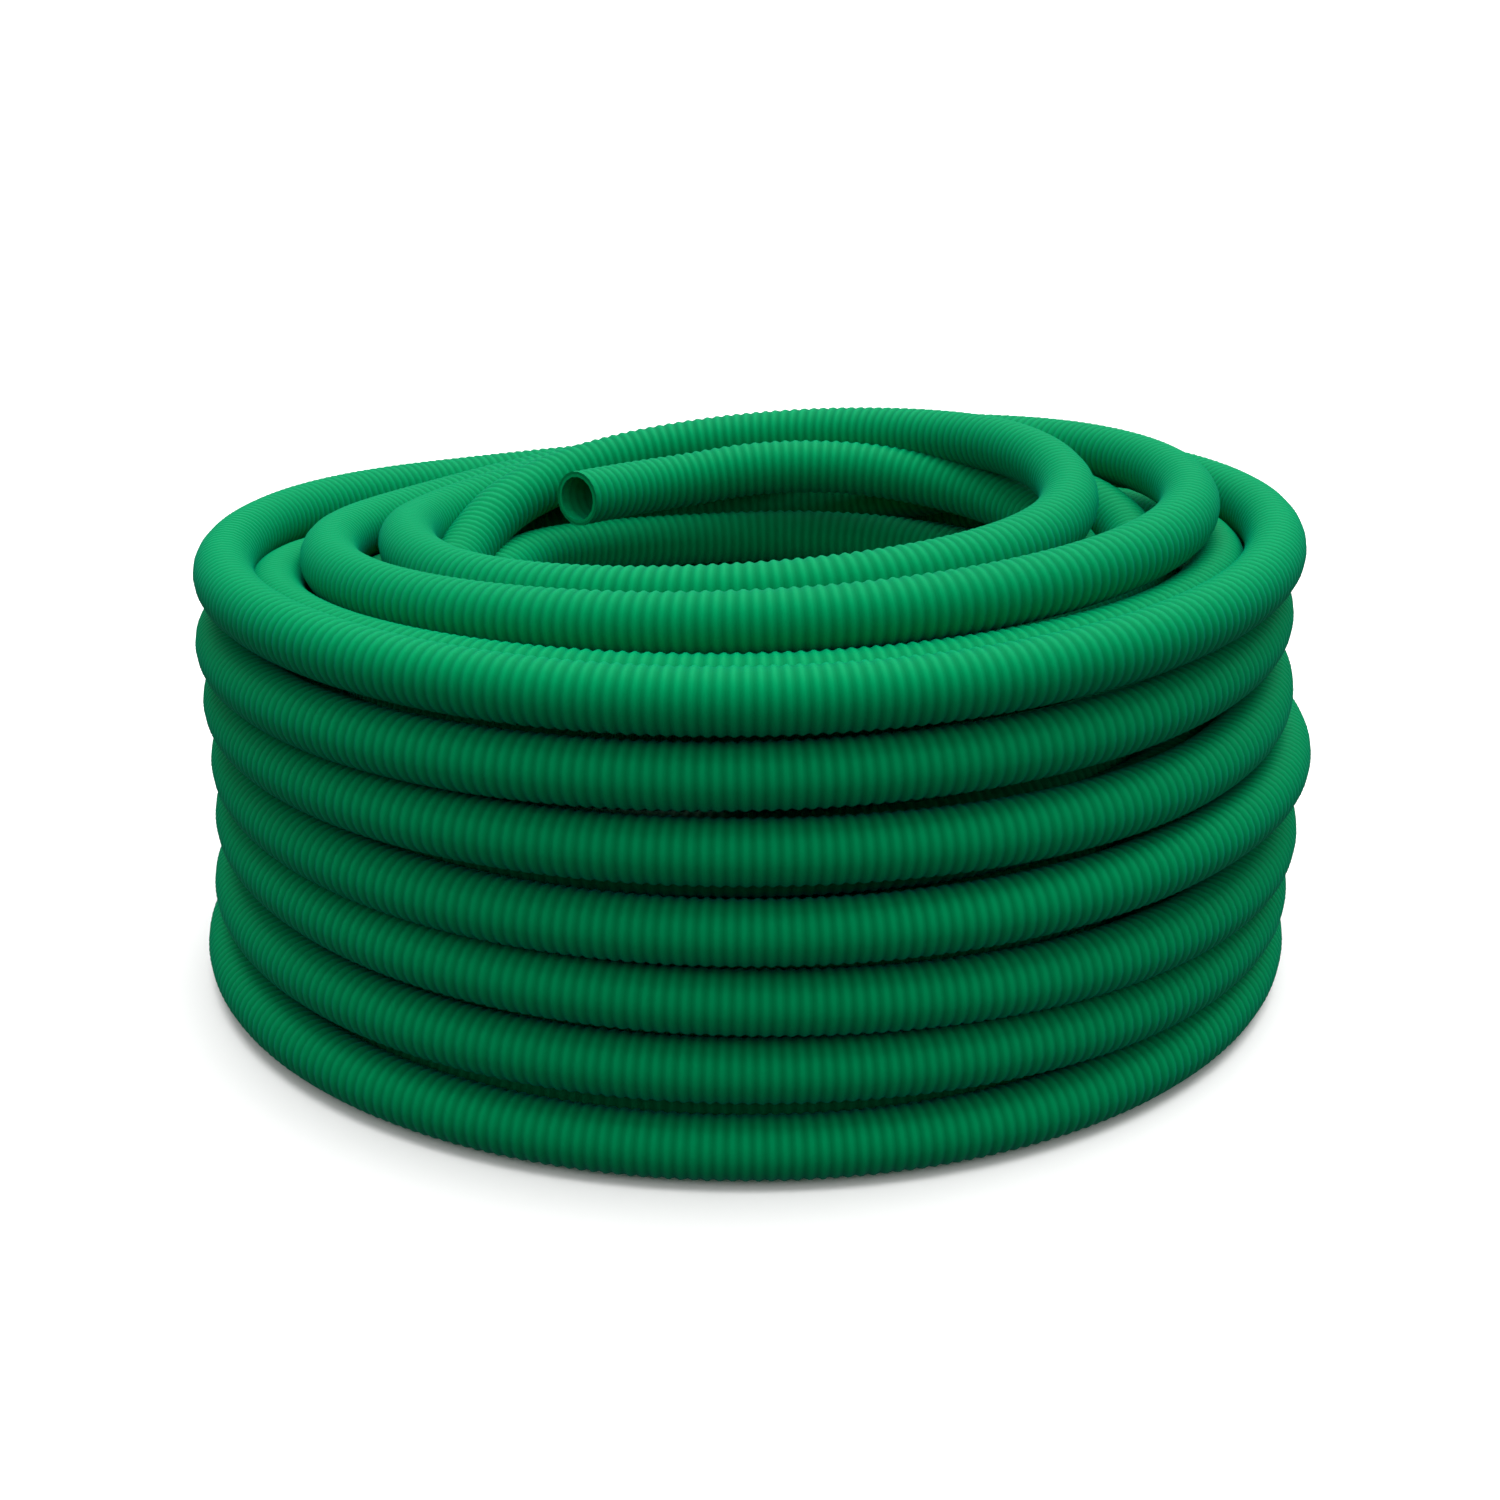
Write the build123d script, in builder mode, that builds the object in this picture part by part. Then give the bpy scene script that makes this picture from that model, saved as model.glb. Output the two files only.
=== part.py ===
from build123d import *

import os
from math import hypot, pi, radians, tan

# A free-standing coil of corrugated flexible hose, wound from one length of plain-ended hose. The turns that
# stay wound are closed solids with the coil's outer shape. The two ends of the hose, which lie loose, are hollow
# tubes at their true bore. +Z is up, and the origin is the middle of the coil's base.

os.makedirs("parts", exist_ok=True)

# Driving dimensions, in millimetres.
hose_outer = 25.0  # over the ribs
hose_bore = 20.0
outer_turn_radius = 222.5  # centre line of the outermost turns
columns = 4  # turns side by side in the wall of the coil
column_pitch = 27.0
layers = 7  # turns on top of each other
layer_pitch = 28.0
inner_column_turns = 6  # the innermost column is packed closer and stops lower
inner_column_pitch = 25.6
loose_turn_insets = (80.0, 42.5)  # how far inside the outermost turns each of the two loose turns lies
free_end_side_gap = 1.4  # between the free end's route and the wall of its pocket
free_end_floor_gap = 5.5  # under the lowest of the free end's route
contact_gap = 0.3  # round a hose end that lies in the coil

# The free end: from its mouth, round the inside of the coil, to where it goes in under the loose turns.
free_end_route = [
    (-76, 84, 174),
    (-40, 111, 174),
    (4, 131, 177),
    (50, 132, 179),
    (92, 116, 177),
    (123, 86, 172),
    (140, 44, 170),
    (140, 0, 170),
]

# The other end of the hose, where the winding began: straight along X, inside the front of the coil.
inner_end_start = -45.0
inner_end_stop = 30.0
slot_depth = 60.0  # from the back of its slot to well inside the coil's hole

# Sizes that follow from those.
hose_radius = hose_outer / 2
bore_radius = hose_bore / 2
inner_turn_radius = outer_turn_radius - (columns - 1) * column_pitch
coil_height = (layers - 1) * layer_pitch + hose_outer
pocket_radius = max(hypot(x, y) for x, y, height in free_end_route) + hose_radius + free_end_side_gap
pocket_floor = min(height for x, y, height in free_end_route) - hose_radius - free_end_floor_gap
outer_turn_heights = [hose_radius + layer_pitch * layer for layer in range(layers)]
inner_turn_heights = [hose_radius + inner_column_pitch * turn for turn in range(inner_column_turns)]
loose_turn_radii = [outer_turn_radius - inset for inset in loose_turn_insets]
free_end_radius = free_end_route[-1][0]
free_end_height = free_end_route[-1][2]


def corner_radii(route):
    """The largest arc that each corner of the route has room for, by its shorter run and half its turn."""
    radii = []
    for before, corner, after in zip(route, route[1:], route[2:]):
        arriving = Vector(*corner) - Vector(*before)
        leaving = Vector(*after) - Vector(*corner)
        half_turn = radians(arriving.get_angle(leaving)) / 2
        radii.append(0.45 * min(arriving.length, leaving.length) / tan(half_turn))
    return radii


# The wound turns: a thick ring, ribbed inside and out by the hose's own round section. Behind, the free end lies
# in a pocket over the innermost column. In front, its turn goes on round as part of the ring, where a web joins
# it to the wall however wide the coil is, and a slot in the innermost column holds the inner end.
with BuildPart() as wound_turns:
    with BuildSketch(Plane.XZ):
        with Locations(((inner_turn_radius + outer_turn_radius) / 2, coil_height / 2)):
            Rectangle(outer_turn_radius - inner_turn_radius, coil_height)
        with Locations(*[(outer_turn_radius, height) for height in outer_turn_heights]):
            Circle(hose_radius)
        with Locations(*[(inner_turn_radius, height) for height in inner_turn_heights]):
            Circle(hose_radius)
        with Locations((free_end_radius, free_end_height)):
            Circle(hose_radius)
            Rectangle(outer_turn_radius - free_end_radius, hose_radius, align=(Align.MIN, Align.CENTER))
    revolve(axis=Axis.Z)
    with BuildSketch(Plane.XZ):
        with Locations((pocket_radius, pocket_floor)):
            Rectangle(pocket_radius, coil_height - pocket_floor, align=(Align.MAX, Align.MIN))
    revolve(axis=Axis.Z, revolution_arc=180, mode=Mode.SUBTRACT)
    with Locations((inner_end_stop, -inner_turn_radius - hose_radius - contact_gap, inner_turn_heights[-1])):
        Box(
            inner_end_stop - inner_end_start + hose_outer,
            slot_depth,
            hose_outer + 2 * contact_gap,
            align=(Align.MAX, Align.MIN, Align.CENTER),
            mode=Mode.SUBTRACT,
        )
wound_turns.part.label = "wound_turns"
export_step(wound_turns.part, "parts/wound_turns.step")

# The loose turns: two more turns laid on top of the coil, one inside the other, as one flat ring.
with BuildPart() as loose_turns:
    with BuildSketch(Plane.XZ):
        with Locations((sum(loose_turn_radii) / 2, coil_height + hose_radius)):
            Rectangle(loose_turn_radii[1] - loose_turn_radii[0], hose_outer)
        with Locations(*[(radius, coil_height + hose_radius) for radius in loose_turn_radii]):
            Circle(hose_radius)
    revolve(axis=Axis.Z)
loose_turns.part.label = "loose_turns"
export_step(loose_turns.part, "parts/loose_turns.step")

# The free end: a hollow tube of straight runs joined by the largest tangent arcs that they have room for.
free_end_corners = corner_radii(free_end_route)
with BuildPart() as free_end:
    with BuildLine() as free_end_line:
        FilletPolyline(*free_end_route, radius=free_end_corners)
    mouth = Plane(origin=free_end_line.wire() @ 0, z_dir=free_end_line.wire() % 0)
    with BuildSketch(mouth):
        Circle(hose_radius)
    sweep(path=free_end_line.wire())
    with BuildSketch(mouth):
        Circle(bore_radius)
    sweep(path=free_end_line.wire(), mode=Mode.SUBTRACT)
free_end.part.label = "free_end"
export_step(free_end.part, "parts/free_end.step")

# The inner end: a short straight hollow tube in its slot, against the turn that it runs into.
with BuildPart() as inner_end:
    with BuildSketch(Plane.YZ.offset(inner_end_start)):
        with Locations((-inner_turn_radius, inner_turn_heights[-1])):
            Circle(hose_radius)
            Circle(bore_radius, mode=Mode.SUBTRACT)
    extrude(amount=inner_end_stop - inner_end_start)
inner_end.part.label = "inner_end"
export_step(inner_end.part, "parts/inner_end.step")

free_end_length = free_end_line.wire().length
wall_section = pi * (hose_radius**2 - bore_radius**2)
print("free end radii:", [round(radius, 1) for radius in free_end_corners])
print("free end length:", round(free_end_length, 1))
free_end_fill = free_end.part.volume / wall_section / free_end_length
print("free end volume over section times length:", round(free_end_fill, 4))
print("mouth at", mouth.origin, "pointing", -mouth.z_dir)
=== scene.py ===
import bpy
import numpy as np
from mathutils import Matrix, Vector


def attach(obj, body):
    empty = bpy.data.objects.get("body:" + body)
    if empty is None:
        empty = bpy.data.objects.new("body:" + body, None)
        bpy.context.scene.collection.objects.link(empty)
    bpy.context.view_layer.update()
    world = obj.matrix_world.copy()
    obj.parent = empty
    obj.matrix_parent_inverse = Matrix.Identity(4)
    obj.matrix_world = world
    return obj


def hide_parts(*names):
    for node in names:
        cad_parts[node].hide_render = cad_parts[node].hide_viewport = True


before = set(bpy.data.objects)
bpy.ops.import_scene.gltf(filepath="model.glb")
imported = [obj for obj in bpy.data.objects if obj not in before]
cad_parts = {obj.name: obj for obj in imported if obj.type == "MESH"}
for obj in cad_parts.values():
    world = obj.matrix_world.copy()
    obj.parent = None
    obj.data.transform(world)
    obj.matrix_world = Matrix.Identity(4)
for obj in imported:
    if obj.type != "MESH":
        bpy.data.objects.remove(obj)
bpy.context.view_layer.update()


# The hose's line: one length of hose, wound from the inside out and laid loosely on top. Its turns are
# worked out from places round the coil, each an azimuth in degrees anticlockwise from the right, and a
# radius and a height in hose diameters. Its free end, on top, is a list of points in metres.
hose_diameter = 0.025
points_per_turn = 24
floor_height = 0.5  # a turn that lies on the floor
top_level = 5  # the lowest turn of a column is at level 0
FRONT, RIGHT, BACK, LEFT = 270, 360, 450, 540  # in the order in which the hose passes them

places = [  # the inner end and the turn that it starts
    (262, 5.6, 5.7),
    (RIGHT, 5.5, 5.7),
    (435, 6.05, 5.5),
    (460, 5.75, 5.5),
    (480, 5.6, 5.6),
    (495, 5.5, 5.75),
    (510, 5.15, 5.82),
    (LEFT, 4.75, 5.45),
]

# The side, the radius and the rise from one turn to the next, in the three columns inside the wall. The
# innermost column goes down, the second up and the third down. The outermost, further on, goes up.
innermost_column = ((FRONT, 5.6, 1.04), (RIGHT, 5.55, 1.03), (BACK, 6.0, 1.0), (LEFT, 5.6, 0.98))
second_column = ((LEFT - 360, 6.55, 1.14), (FRONT, 6.75, 1.31), (RIGHT, 6.5, 1.31), (BACK, 7.05, 1.02))
third_column = ((LEFT - 360, 8.0, 1.2), (FRONT, 7.9, 1.36), (RIGHT, 7.8, 1.3), (BACK, 8.0, 0.97))
second_start, third_start, outermost_start = 6, 12, 18  # how many turns come before each column


def column_places(column, turn, level):
    """The places of one turn of a column: at each side, the floor's height plus the side's rise times the
    level."""
    return [(360 * turn + side, radius, floor_height + rise * level) for side, radius, rise in column]


for level in range(top_level):  # the innermost column's highest turn is the one above
    places += column_places(innermost_column, top_level - level, level)
for level in range(top_level + 1):
    sides = second_column if level else second_column[1:]  # the innermost column ends at the lowest left
    places += column_places(sides, second_start + level, level)
    places += column_places(third_column, third_start + top_level - level, level)
places += [  # the second column's last turn stays high on the right, then drops behind to the third's first
    (360 * (second_start + top_level) + RIGHT + 35, 6.5, 7.1),
    (360 * (second_start + top_level) + BACK + 56, 7.7, 5.75),
]
outermost_column = [  # radius and height at the left, front, right and back of each turn, from the floor up
    ((9.05, 0.5), (8.95, 0.5), (8.85, 0.5), (8.9, 1.0)),
    ((8.9, 1.55), (8.9, 1.75), (8.85, 1.5), (8.9, 2.05)),
    ((8.8, 2.8), (8.9, 2.85), (8.95, 2.55), (8.9, 3.1)),
    ((8.8, 3.8), (8.9, 3.95), (9.1, 3.9), (8.95, 4.15)),
    ((8.85, 4.85), (8.9, 5.2), (8.65, 5.2), (8.9, 5.2)),
    ((8.9, 5.85), (8.9, 6.35), (8.6, 6.4), (9.0, 6.2)),
]
for level, sides in enumerate(outermost_column):
    for side, (radius, height) in zip((LEFT - 360, FRONT, RIGHT, BACK), sides):
        places.append((360 * (outermost_start + level) + side, radius, height))
places += [  # at the front right, its fourth turn bulges and its fifth lies close over it
    (360 * (outermost_start + 3) + RIGHT - 30, 9.04, 3.99),
    (360 * (outermost_start + 4) + RIGHT - 30, 8.78, 5.12),
]
places.sort()  # into the order in which the hose passes them
top = 360 * (outermost_start + top_level)
places += [  # the outermost column's seventh turn, from behind, and then the loose turns that lie on top
    (top + 490, 8.9, 6.3),
    (top + 510, 8.85, 6.62),
    (top + 550, 8.85, 7.1),
    (top + 630, 8.9, 7.45),
    (top + 720, 8.7, 7.5),
    (top + 765, 8.6, 7.03),
    (top + 810, 8.05, 6.75),
    (top + 865, 7.5, 6.45),
    (top + 900, 7.15, 7.0),
    (top + 945, 7.1, 7.6),
    (top + 990, 7.15, 8.0),
    (top + 1080, 7.3, 8.05),
    (top + 1115, 7.25, 7.7),
    (top + 1145, 7.2, 7.28),
    (top + 1170, 7.1, 7.07),
    (top + 1205, 7.0, 6.6),
    (top + 1228, 6.6, 6.6),
    (top + 1260, 5.85, 7.12),
    (top + 1305, 5.8, 7.58),
    (top + 1350, 5.8, 8.0),
    (top + 1440, 5.32, 8.02),
    (top + 1470, 5.5, 8.0),
    (top + 1500, 5.95, 7.7),
    (top + 1530, 6.1, 7.4),
    (top + 1560, 6.2, 7.0),
    (top + 1583, 5.8, 6.7),
    (top + 1592, 5.6, 6.45),
    (top + 1620, 5.3, 6.2),
    (top + 1665, 5.35, 6.5),
    (top + 1710, 5.5, 6.85),
    (top + 1785, 5.6, 6.85),
]
free_end_route = [  # from under the loose turns at the right, round behind, to the open mouth
    (0.1400, -0.0300, 0.1700),
    (0.1390, 0.0080, 0.1690),
    (0.1350, 0.0420, 0.1705),
    (0.1165, 0.0820, 0.1730),
    (0.0855, 0.1095, 0.1755),
    (0.0460, 0.1235, 0.1785),
    (0.0040, 0.1250, 0.1780),
    (-0.0320, 0.1170, 0.1735),
    (-0.0590, 0.0990, 0.1740),
    (-0.0795, 0.0745, 0.1763),
]


def through(angles, knots, values):
    """The values at the angles, by a cubic from each knot to the next. Its slope at a knot is the mean of
    the slopes of the gaps before and after it, the shorter gap counting for more."""
    slopes = np.gradient(values, knots)
    low = np.clip(np.searchsorted(knots, angles, "right") - 1, 0, len(knots) - 2)
    span = knots[low + 1] - knots[low]
    t = (angles - knots[low]) / span
    return (
        (2 * t**3 - 3 * t**2 + 1) * values[low]
        + (t**3 - 2 * t**2 + t) * span * slopes[low]
        + (3 * t**2 - 2 * t**3) * values[low + 1]
        + (t**3 - t**2) * span * slopes[low + 1]
    )


def coil_points(places):
    """Control points of the coil's turns, at equal steps round it, at the radius over the cosine of half a
    step. That is how far out a quadratic spline's control points stand from the circle that it draws."""
    knots, place_radii, place_heights = np.array(places).T
    step = 360 / points_per_turn
    angles = np.arange(knots[0], knots[-1], step)
    radii = through(angles, knots, place_radii) / np.cos(np.radians(step / 2))
    heights = np.maximum(through(angles, knots, place_heights), floor_height)
    turned = np.radians(angles)
    return hose_diameter * np.stack([radii * np.cos(turned), radii * np.sin(turned), heights], axis=1)


def spline_points(controls, name):
    """The points of a quadratic NURBS curve that has the given control points, end to end."""
    curve = bpy.data.curves.new(name, "CURVE")
    curve.dimensions = "3D"
    curve.resolution_u = 6
    spline = curve.splines.new("NURBS")
    spline.points.add(len(controls) - 1)
    spline.points.foreach_set("co", np.column_stack([controls, np.ones(len(controls))]).ravel())
    spline.order_u = 3
    spline.use_endpoint_u = True
    line = bpy.data.objects.new(name, curve)
    drawn = bpy.data.meshes.new_from_object(line)
    found = np.empty(3 * len(drawn.vertices))
    drawn.vertices.foreach_get("co", found)
    bpy.data.objects.remove(line)
    bpy.data.curves.remove(curve)
    bpy.data.meshes.remove(drawn)
    return found.reshape(-1, 3)


control_points = np.concatenate([coil_points(places), np.array(free_end_route)])
centre_line = spline_points(control_points, "hose_line")
steps = np.linalg.norm(np.diff(centre_line, axis=0), axis=1)
distances = np.concatenate([[0], np.cumsum(steps)])
hose_length = distances[-1]
directions = np.gradient(centre_line, distances, axis=0)
directions /= np.linalg.norm(directions, axis=1)[:, None]


# The hose's finish: soft green vinyl, matt on the ribs, with painted shade that darkens it down in the
# grooves. The colour drifts a little along the coil, and fine moulding grain breaks up the light.
class Value:
    """A shader socket. Sums and products of values add the Math nodes that work them out."""

    def __init__(self, tree, socket):
        self.tree = tree
        self.socket = socket

    def node(self, kind, settings=None, output=0, **inputs):
        """Any other node, made with its settings first, such as a ramp's stops, and then its inputs. An
        input goes by its name, or by an underscore and its number where names repeat."""
        made = self.tree.nodes.new(kind)
        for setting, value in (settings or {}).items():
            if setting == "stops":
                set_stops(made.color_ramp.elements, value)
            else:
                setattr(made, setting, value)
        for name, value in inputs.items():
            socket = made.inputs[int(name[1:]) if name[1:].isdigit() else name.replace("_", " ")]
            if isinstance(value, Value):
                self.tree.links.new(value.socket, socket)
            else:
                socket.default_value = value
        return Value(self.tree, made.outputs[output])

    def maths(self, operation, first, second):
        """The result of a Math node on two values or numbers."""
        return self.node("ShaderNodeMath", {"operation": operation}, _0=first, _1=second)

    def __add__(self, other):
        return self.maths("ADD", self, other)

    def __mul__(self, other):
        return self.maths("MULTIPLY", self, other)

    __radd__ = __add__
    __rmul__ = __mul__


def set_stops(elements, stops):
    """A ramp's stops, each a position and a grey level. A new ramp has two, which become the first two."""
    for element, (position, level) in zip(elements, stops):
        element.position = position
        element.color = (level, level, level, 1)
    for position, level in stops[len(elements):]:
        elements.new(position).color = (level, level, level, 1)


def mixed(factor, first, second):
    """The colour that goes from the first to the second as the factor goes from 0 to 1. A Mix node takes
    its colours at inputs 6 and 7 and gives the mixed one at output 2."""
    return factor.node("ShaderNodeMix", {"data_type": "RGBA"}, output=2, _0=factor, _6=first, _7=second)


def new_material(name):
    """A material with an empty node tree, its output node and a value to start expressions from."""
    material = bpy.data.materials.new(name)
    material.use_nodes = True
    tree = material.node_tree
    tree.nodes.clear()
    output = tree.nodes.new("ShaderNodeOutputMaterial")
    return material, output, Value(tree, None)


def green_vinyl():
    """Green drifting with slow noise and darkened by the groove mask as painted shade in the grooves;
    roughness higher in the grooves.
    """
    deep_green = (0.000, 0.230, 0.074, 1)
    fresh_green = (0.000, 0.280, 0.092, 1)
    # painted shade: the darker green given to the bottoms of the grooves
    painted_groove_shade = (0.000, 0.165, 0.050, 1)
    material, output, start = new_material("green_vinyl")
    place = start.node("ShaderNodeTexCoord", output="Object")
    groove = start.node("ShaderNodeAttribute", {"attribute_name": "groove"}, output="Fac")
    drift = start.node("ShaderNodeTexNoise", Vector=place, Scale=9.0, Detail=3.0)
    grain = start.node("ShaderNodeTexNoise", Vector=place, Scale=1400.0, Detail=2.0)
    shader = start.node(
        "ShaderNodeBsdfPrincipled",
        Base_Color=mixed(groove, mixed(drift, deep_green, fresh_green), painted_groove_shade),
        Roughness=0.5 + 0.2 * groove,
        Specular_IOR_Level=0.06,
        Specular_Tint=(0.0, 1.0, 0.75, 1),
        Sheen_Weight=0.1,
        Sheen_Roughness=0.5,
        Sheen_Tint=(0.0, 0.5, 1.0, 1),
        Normal=start.node("ShaderNodeBump", Strength=0.15, Distance=0.0002, Height=grain),
    )
    shader.tree.links.new(shader.socket, output.inputs["Surface"])
    return material


vinyl = green_vinyl()


# The hose's bore and inner wall: a smooth tube through the whole coil, open at both plain-cut ends. It is
# the piece that carries the hose's real length, and the ribbed wall goes round it.
rib_pitch = 0.0046
bore_radius = 0.010
bore_rib_height = 0.0004
inner_wall_radius = 0.0110
lip_height = 0.0004  # by which a cut end's face reaches past the inner wall, into the ribbed one
mouth_depth = 0.23  # how far the open bore is modelled
rings_per_bore_rib = 4
liner_sides = 16
sharp_angle = np.radians(60)  # only the edges at a piece's own ends are sharper


def rings(along, radii, sides):
    """Rings of points round the hose's line: at each distance along it, a circle of that radius in the
    plane of the level side direction, which is forward cross up, and of the direction square to both."""
    centres = np.stack([np.interp(along, distances, centre_line[:, axis]) for axis in range(3)], axis=1)
    forward = np.stack([np.interp(along, distances, directions[:, axis]) for axis in range(3)], axis=1)
    side = np.cross(forward, (0, 0, 1))
    side /= np.linalg.norm(side, axis=1)[:, None]
    over = np.cross(side, forward)
    over /= np.linalg.norm(over, axis=1)[:, None]
    turned = np.linspace(0, 2 * np.pi, sides, endpoint=False)[None, :, None]
    spokes = np.cos(turned) * side[:, None] + np.sin(turned) * over[:, None]
    return (centres[:, None] + np.asarray(radii)[:, None, None] * spokes).reshape(-1, 3)


def ringed_mesh(name, along, radii, sides, joined, grooves=None):
    """A surface over consecutive rings, each quad joining two neighbours of one ring to those of the next.
    It is either joined from the last ring back to the first, or closed by a flat cap on each."""
    count = len(along)
    ring = np.arange(count if joined else count - 1)[:, None]
    spoke = np.arange(sides)[None]
    here = ring * sides
    after = (ring + 1) % count * sides
    beside = (spoke + 1) % sides
    quads = np.stack([here + spoke, here + beside, after + beside, after + spoke], axis=2).reshape(-1, 4)
    faces = quads.tolist()
    if not joined:
        faces.append(list(range(sides))[::-1])
        faces.append(list(range((count - 1) * sides, count * sides)))
    mesh = bpy.data.meshes.new(name)
    mesh.from_pydata(rings(along, radii, sides), [], faces)
    mesh.shade_smooth()
    mesh.set_sharp_from_angle(angle=sharp_angle)
    if grooves is not None:
        # The groove mask, 1 at each groove's bottom: the material paints shade there and makes it rougher.
        mask = mesh.attributes.new("groove", "FLOAT", "POINT")
        mask.data.foreach_set("value", np.repeat(grooves, sides).astype(np.float32))
    mesh.materials.append(vinyl)
    mesh.validate()
    piece = bpy.data.objects.new(name, mesh)
    bpy.context.scene.collection.objects.link(piece)
    return piece


# From deep in the first mouth out along its bore, over its cut face, back along the whole inner wall, over
# the other mouth's cut face and in along its bore.
bore_along = np.arange(0, mouth_depth, rib_pitch / rings_per_bore_rib)
bore_radii = bore_radius + bore_rib_height * (0.5 - 0.5 * np.cos(2 * np.pi * bore_along / rib_pitch))
wall_along = distances[1:-1]
wall_radii = np.full(len(wall_along), inner_wall_radius)
lip_radius = inner_wall_radius + lip_height
liner = ringed_mesh(
    "hose_bore",
    np.concatenate([bore_along[::-1], [0], wall_along, [hose_length], hose_length - bore_along]),
    np.concatenate([bore_radii[::-1], [lip_radius], wall_radii, [lip_radius], bore_radii]),
    liner_sides,
    joined=False,
)
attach(liner, "root")


# The hose's ribbed outer wall: rounded rings with narrow grooves between them, 12.5 mm in radius over the
# ribs. It is made in consecutive stretches that meet at the bottom of a groove, each a closed shell with a
# plain inside. Both of the hose's ends are cut through a rib.
groove_radius = 0.0117
rib_height = 0.0008
skin_radius = 0.0112  # of the shell's inside
rings_per_rib = 5
ribs_per_inside_ring = 2
skin_sides = 20
stretches = 8
rib_count = int(hose_length / rib_pitch)
even_pitch = hose_length / rib_count
rib_places = np.arange(rings_per_rib) / rings_per_rib
# the groove mask along a rib, 1 at the groove's bottom, where the material paints shade
rib_grooves = 0.5 + 0.5 * np.cos(2 * np.pi * rib_places)
rib_radii = groove_radius + rib_height * (1 - rib_grooves)
cut_radius = rib_radii[rings_per_rib // 2]
skins = []
for stretch in range(stretches):
    first = rib_count * stretch // stretches
    last = rib_count * (stretch + 1) // stretches
    ribs = np.arange(first, last)
    out_along = np.append(((ribs[:, None] + rib_places) * even_pitch).ravel(), last * even_pitch)
    out_radii = np.append(np.tile(rib_radii, len(ribs)), rib_radii[0])
    out_grooves = np.append(np.tile(rib_grooves, len(ribs)), rib_grooves[0])
    if stretch == 0:
        out_radii[0] = cut_radius
    if stretch == stretches - 1:
        out_radii[-1] = cut_radius
    back_along = np.append(np.arange(last, first, -ribs_per_inside_ring), first) * even_pitch
    skins.append(
        ringed_mesh(
            "ribbed_wall_%d" % (stretch + 1),
            np.concatenate([out_along, back_along]),
            np.concatenate([out_radii, np.full(len(back_along), skin_radius)]),
            skin_sides,
            joined=True,
            grooves=np.concatenate([out_grooves, np.ones(len(back_along))]),
        )
    )
for skin in skins:
    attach(skin, "root")

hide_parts("wound_turns", "loose_turns", "free_end", "inner_end")


# The floor that the coil stands on: a plain pale sheet that reaches past the backdrop's foot. It takes the
# coil's shadow, but sends no light back up to the coil.
reach = 12.0
corners = [(-reach, -reach, 0), (reach, -reach, 0), (reach, reach, 0), (-reach, reach, 0)]
floor_mesh = bpy.data.meshes.new("floor")
floor_mesh.from_pydata(corners, [], [(0, 1, 2, 3)])
floor = bpy.data.objects.new("floor", floor_mesh)
bpy.context.scene.collection.objects.link(floor)
paper, paper_output, paper_start = new_material("pale_paper")
paper_shader = paper_start.node("ShaderNodeBsdfPrincipled", Base_Color=(0.92, 0.92, 0.92, 1), Roughness=0.9)
paper.node_tree.links.new(paper_shader.socket, paper_output.inputs["Surface"])
floor_mesh.materials.append(paper)
floor.visible_diffuse = False
floor.visible_glossy = False


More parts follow.
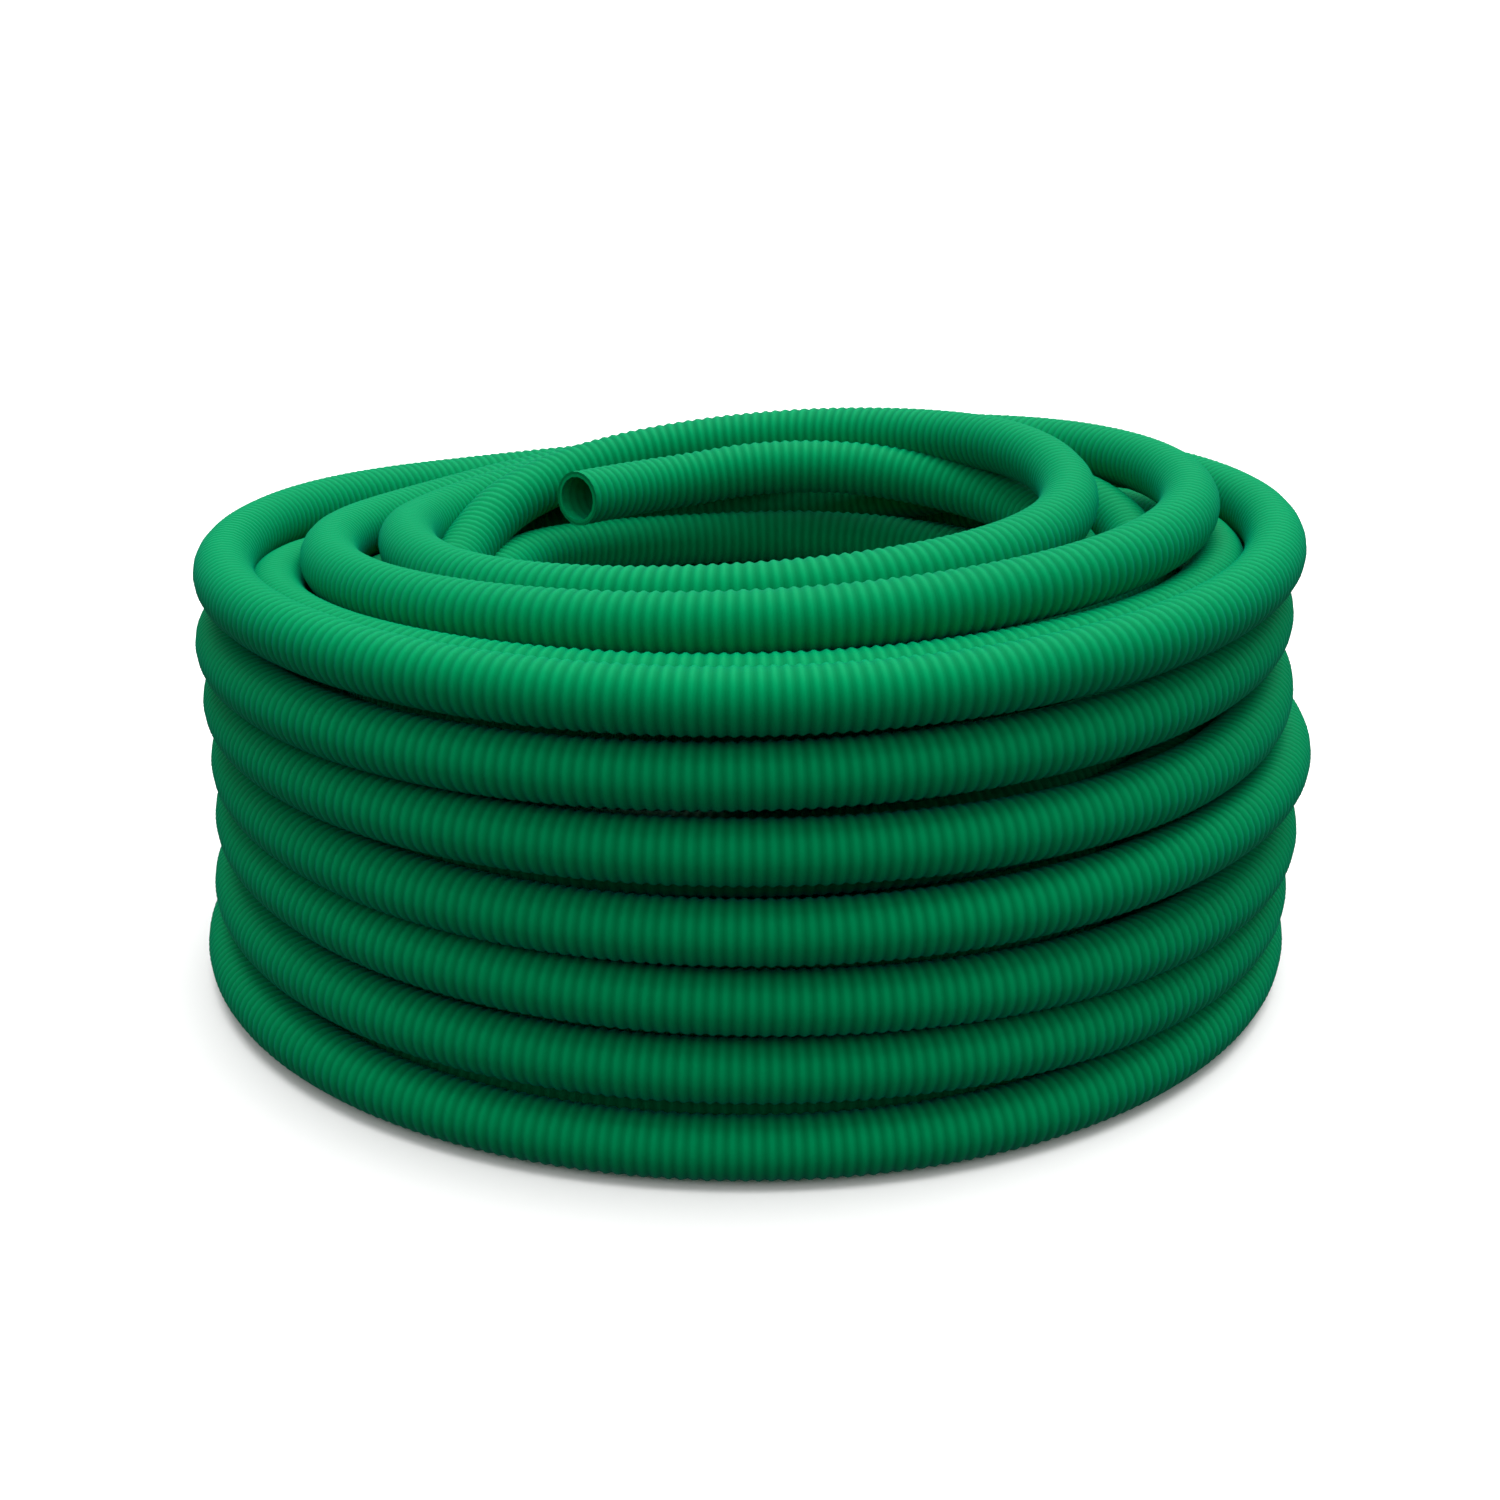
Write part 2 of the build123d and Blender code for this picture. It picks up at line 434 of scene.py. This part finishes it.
# The backdrop: a pale wall that glows by itself, standing on the floor in a wide ring. It hides the floor's
# far edge, and neither lights nor shades the coil.
backdrop_radius = 11.0
backdrop_height = 4.0
backdrop_sides = 64
turned = np.linspace(0, 2 * np.pi, backdrop_sides, endpoint=False)
foot = np.stack([np.cos(turned), np.sin(turned), np.zeros(backdrop_sides)], axis=1) * backdrop_radius
panel = np.arange(backdrop_sides)
beside = (panel + 1) % backdrop_sides
backdrop_mesh = bpy.data.meshes.new("backdrop")
backdrop_mesh.from_pydata(
    np.concatenate([foot, foot + (0, 0, backdrop_height)]),
    [],
    np.stack([beside, panel, panel + backdrop_sides, beside + backdrop_sides], axis=1).tolist(),
)
backdrop_mesh.shade_smooth()
backdrop = bpy.data.objects.new("backdrop", backdrop_mesh)
bpy.context.scene.collection.objects.link(backdrop)
lit_paper, lit_paper_output, lit_paper_start = new_material("lit_paper")
lit_paper_shader = lit_paper_start.node("ShaderNodeEmission", Color=(1, 1, 1, 1), Strength=1.0)
lit_paper.node_tree.links.new(lit_paper_shader.socket, lit_paper_output.inputs["Surface"])
backdrop_mesh.materials.append(lit_paper)
backdrop.visible_diffuse = False
backdrop.visible_glossy = False
backdrop.visible_shadow = False


# The studio: a broad soft light overhead, two weak soft lights from the front, left and right, and a dim
# glow all round that is strongest 30 degrees up. The camera stands in front and looks down a little.
softness = np.radians(60)
for name, energy, towards in (
    ("overhead", 4.1, (0.10, 0.22, 1.0)),
    ("left_fill", 0.45, (-0.45, -0.6, 0.8)),
    ("right_fill", 0.45, (0.6, -0.5, 0.75)),
):
    lamp = bpy.data.lights.new(name, "SUN")
    lamp.energy = energy
    lamp.angle = softness
    holder = bpy.data.objects.new(name, lamp)
    holder.rotation_euler = Vector(towards).to_track_quat("Z", "Y").to_euler()
    bpy.context.scene.collection.objects.link(holder)

world = bpy.data.worlds.new("studio")
bpy.context.scene.world = world
world.use_nodes = True
sky = Value(world.node_tree, None)
direction = sky.node("ShaderNodeTexCoord", output="Generated")
upward = sky.node("ShaderNodeSeparateXYZ", output="Z", Vector=direction)
glow_stops = [(0.0, 0.15), (0.01, 0.2), (0.25, 0.35), (0.5, 1.1), (0.7, 0.5)]
glow = sky.node("ShaderNodeValToRGB", {"stops": glow_stops}, Fac=upward)
background = world.node_tree.nodes["Background"]
world.node_tree.links.new(glow.socket, background.inputs["Color"])
background.inputs["Strength"].default_value = 0.75

camera_data = bpy.data.cameras.new("camera")
camera_data.sensor_width = 36
camera_data.lens = 60.65
camera = bpy.data.objects.new("camera", camera_data)
camera.location = (-0.001, -1.037, 0.482)
camera.rotation_euler = (np.radians(68.94), 0, 0)
bpy.context.scene.collection.objects.link(camera)
bpy.context.scene.camera = camera
bpy.context.scene.view_settings.view_transform = "Standard"
